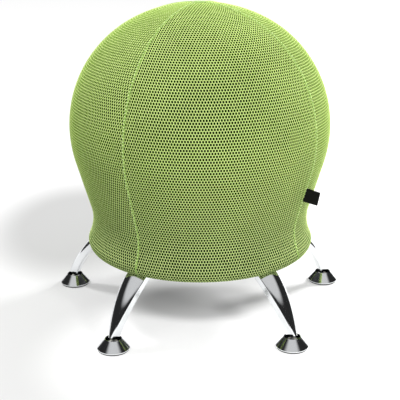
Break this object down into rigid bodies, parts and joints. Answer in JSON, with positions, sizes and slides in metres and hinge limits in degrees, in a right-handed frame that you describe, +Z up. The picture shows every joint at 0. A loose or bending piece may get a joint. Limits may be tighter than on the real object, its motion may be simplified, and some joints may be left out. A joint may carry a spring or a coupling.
{
  "type": "ball stool",
  "caption": "Office stool: an inflated ball under a green knitted cover, on a ring with curved chromed legs and self-levelling bell feet.",
  "frame": {"origin": "on the floor, at the centre of the circle of the five feet, straight under the ring's axis", "axes": "+Z up along the ring's axis, -Y the front, midway between the two front feet, +X to the right as seen from the front"},
  "size_m": [0.5888, 0.5629, 0.6008],
  "materials": {
    "green_knit": "light yellow-green spacer knit with rows of small dark green holes",
    "seam_knit": "smooth lighter green binding",
    "hem_elastic": "dark green woven elastic",
    "label_ribbon": "black woven ribbon, bare",
    "chrome": "bright chrome plate",
    "ring_paint": "satin black powder coat",
    "steel": "zinc plated",
    "black_steel": "black oxide",
    "ball_vinyl": "matt grey vinyl",
    "valve_plastic": "soft white plastic",
    "pan_plastic": "matt black moulded plastic",
    "pad_plastic": "dark grey nylon",
    "nylon": "black nylon"
  },
  "bodies": {
    "stool": {"base_ring": "ring_paint", "ring_nuts": "steel", "seat_pan": "pan_plastic", "pan_screws": "steel", "ball": "ball_vinyl", "ball_valve": "valve_plastic", "top_patch": "seam_knit", "hem_band": "hem_elastic", "flag_label": "label_ribbon", "leg_bolts": "black_steel", "foot_studs": "steel", "cover_gore_front": "green_knit", "cover_seam_front": "seam_knit", "cover_gore_right": "green_knit", "cover_seam_right": "seam_knit", "cover_gore_back": "green_knit", "cover_seam_back": "seam_knit", "cover_gore_left": "green_knit", "cover_seam_left": "seam_knit", "leg_back": "chrome", "leg_left": "chrome", "leg_front_left": "chrome", "leg_front_right": "chrome", "leg_right": "chrome"},
    "foot_back_socket": {"foot_socket_back": "nylon"},
    "foot_back": {"foot_bell_back": "chrome", "foot_pad_back": "pad_plastic"},
    "foot_left_socket": {"foot_socket_left": "nylon"},
    "foot_left": {"foot_bell_left": "chrome", "foot_pad_left": "pad_plastic"},
    "foot_front_left_socket": {"foot_socket_front_left": "nylon"},
    "foot_front_left": {"foot_bell_front_left": "chrome", "foot_pad_front_left": "pad_plastic"},
    "foot_front_right_socket": {"foot_socket_front_right": "nylon"},
    "foot_front_right": {"foot_bell_front_right": "chrome", "foot_pad_front_right": "pad_plastic"},
    "foot_right_socket": {"foot_socket_right": "nylon"},
    "foot_right": {"foot_bell_right": "chrome", "foot_pad_right": "pad_plastic"}
  },
  "joints": [
    {"name": "tilt_back", "type": "hinge", "parent": "stool", "child": "foot_back_socket", "pos_m": [0, 0.278, 0.0125], "axis": [-1, 0, 0], "range_deg": [-7, 7]},
    {"name": "swivel_back", "type": "hinge", "parent": "foot_back_socket", "child": "foot_back", "pos_m": [0, 0.278, 0.0125], "axis": [0, 0, 1], "continuous": true},
    {"name": "tilt_left", "type": "hinge", "parent": "stool", "child": "foot_left_socket", "pos_m": [-0.26439, 0.08591, 0.0125], "axis": [-0.309, -0.9511, 0], "range_deg": [-7, 7]},
    {"name": "swivel_left", "type": "hinge", "parent": "foot_left_socket", "child": "foot_left", "pos_m": [-0.26439, 0.08591, 0.0125], "axis": [0, 0, 1], "continuous": true},
    {"name": "tilt_front_left", "type": "hinge", "parent": "stool", "child": "foot_front_left_socket", "pos_m": [-0.1634, -0.22491, 0.0125], "axis": [0.809, -0.5878, 0], "range_deg": [-7, 7]},
    {"name": "swivel_front_left", "type": "hinge", "parent": "foot_front_left_socket", "child": "foot_front_left", "pos_m": [-0.1634, -0.22491, 0.0125], "axis": [0, 0, 1], "continuous": true},
    {"name": "tilt_front_right", "type": "hinge", "parent": "stool", "child": "foot_front_right_socket", "pos_m": [0.1634, -0.22491, 0.0125], "axis": [0.809, 0.5878, 0], "range_deg": [-7, 7]},
    {"name": "swivel_front_right", "type": "hinge", "parent": "foot_front_right_socket", "child": "foot_front_right", "pos_m": [0.1634, -0.22491, 0.0125], "axis": [0, 0, 1], "continuous": true},
    {"name": "tilt_right", "type": "hinge", "parent": "stool", "child": "foot_right_socket", "pos_m": [0.26439, 0.08591, 0.0125], "axis": [-0.309, 0.9511, 0], "range_deg": [-7, 7]},
    {"name": "swivel_right", "type": "hinge", "parent": "foot_right_socket", "child": "foot_right", "pos_m": [0.26439, 0.08591, 0.0125], "axis": [0, 0, 1], "continuous": true}
  ]
}
